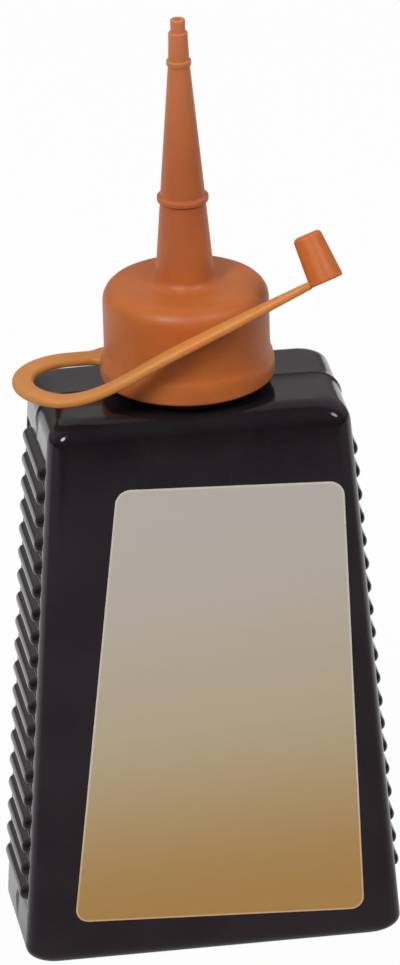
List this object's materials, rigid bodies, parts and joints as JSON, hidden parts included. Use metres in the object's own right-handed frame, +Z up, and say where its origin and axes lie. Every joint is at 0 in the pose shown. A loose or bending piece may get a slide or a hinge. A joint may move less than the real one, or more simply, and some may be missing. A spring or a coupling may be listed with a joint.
{
  "type": "graphite lubricant squeeze bottle",
  "caption": "Flat tapered squeeze bottle of dry graphite lubricant with ribbed sides, a screw-on spout cap and a tip closure on a looped strap.",
  "frame": {"origin": "centre of the bottle's base, on the plane that it stands on", "axes": "+Z up along the nozzle, -Y out of the labelled front, the strap's loop at -X"},
  "size_m": [0.0656, 0.0342, 0.1662],
  "materials": {
    "bottle": "black blow-moulded polyethylene, satin gloss",
    "label": "metallic silver to gold label film, bare of print",
    "graphite": "loose graphite powder",
    "seal": "foamed polyethylene",
    "cap": "orange injection-moulded polyethylene, slightly translucent"
  },
  "bodies": {
    "bottle": {"bottle": "bottle", "label": "label", "graphite_fill": "graphite"},
    "seal": {"sealing_ring": "seal"},
    "cap": {"spout_cap": "cap"},
    "loop": {"strap_loop": "cap"},
    "arm": {"strap_arm": "cap"},
    "closure": {"tip_closure": "cap"}
  },
  "joints": [
    {"name": "cap_rise", "type": "slide", "parent": "bottle", "child": "seal", "axis": [0, 0, 1], "range_m": [0, 0.00556]},
    {"name": "cap_turn", "type": "hinge", "parent": "seal", "child": "cap", "pos_m": [0, 0, 0.105], "axis": [0, 0, 1], "range_deg": [0, 630]},
    {"name": "strap_swing", "type": "hinge", "parent": "cap", "child": "loop", "pos_m": [-0.0156, 0.00561, 0.1048], "axis": [-0.23, 0.9732, 0], "range_deg": [0, 73.9], "stiffness_Nm_per_rad": 0.02},
    {"name": "strap_twist", "type": "hinge", "parent": "loop", "child": "arm", "pos_m": [-0.0284, -0.00329, 0.104], "axis": [-0.0751, -0.914, -0.3987], "range_deg": [0, 117.7]},
    {"name": "closure_tilt", "type": "hinge", "parent": "arm", "child": "closure", "pos_m": [0.01803, -0.0168, 0.12264], "axis": [0.6071, 0.7814, -0.1445], "range_deg": [0, 88.6]}
  ],
  "couplings": [
    {"joint": "cap_turn", "follows": "cap_rise", "rad_per_m": 1979},
    {"joint": "strap_twist", "follows": "strap_swing", "ratio": 1.5913},
    {"joint": "closure_tilt", "follows": "strap_swing", "ratio": 1.1976}
  ]
}
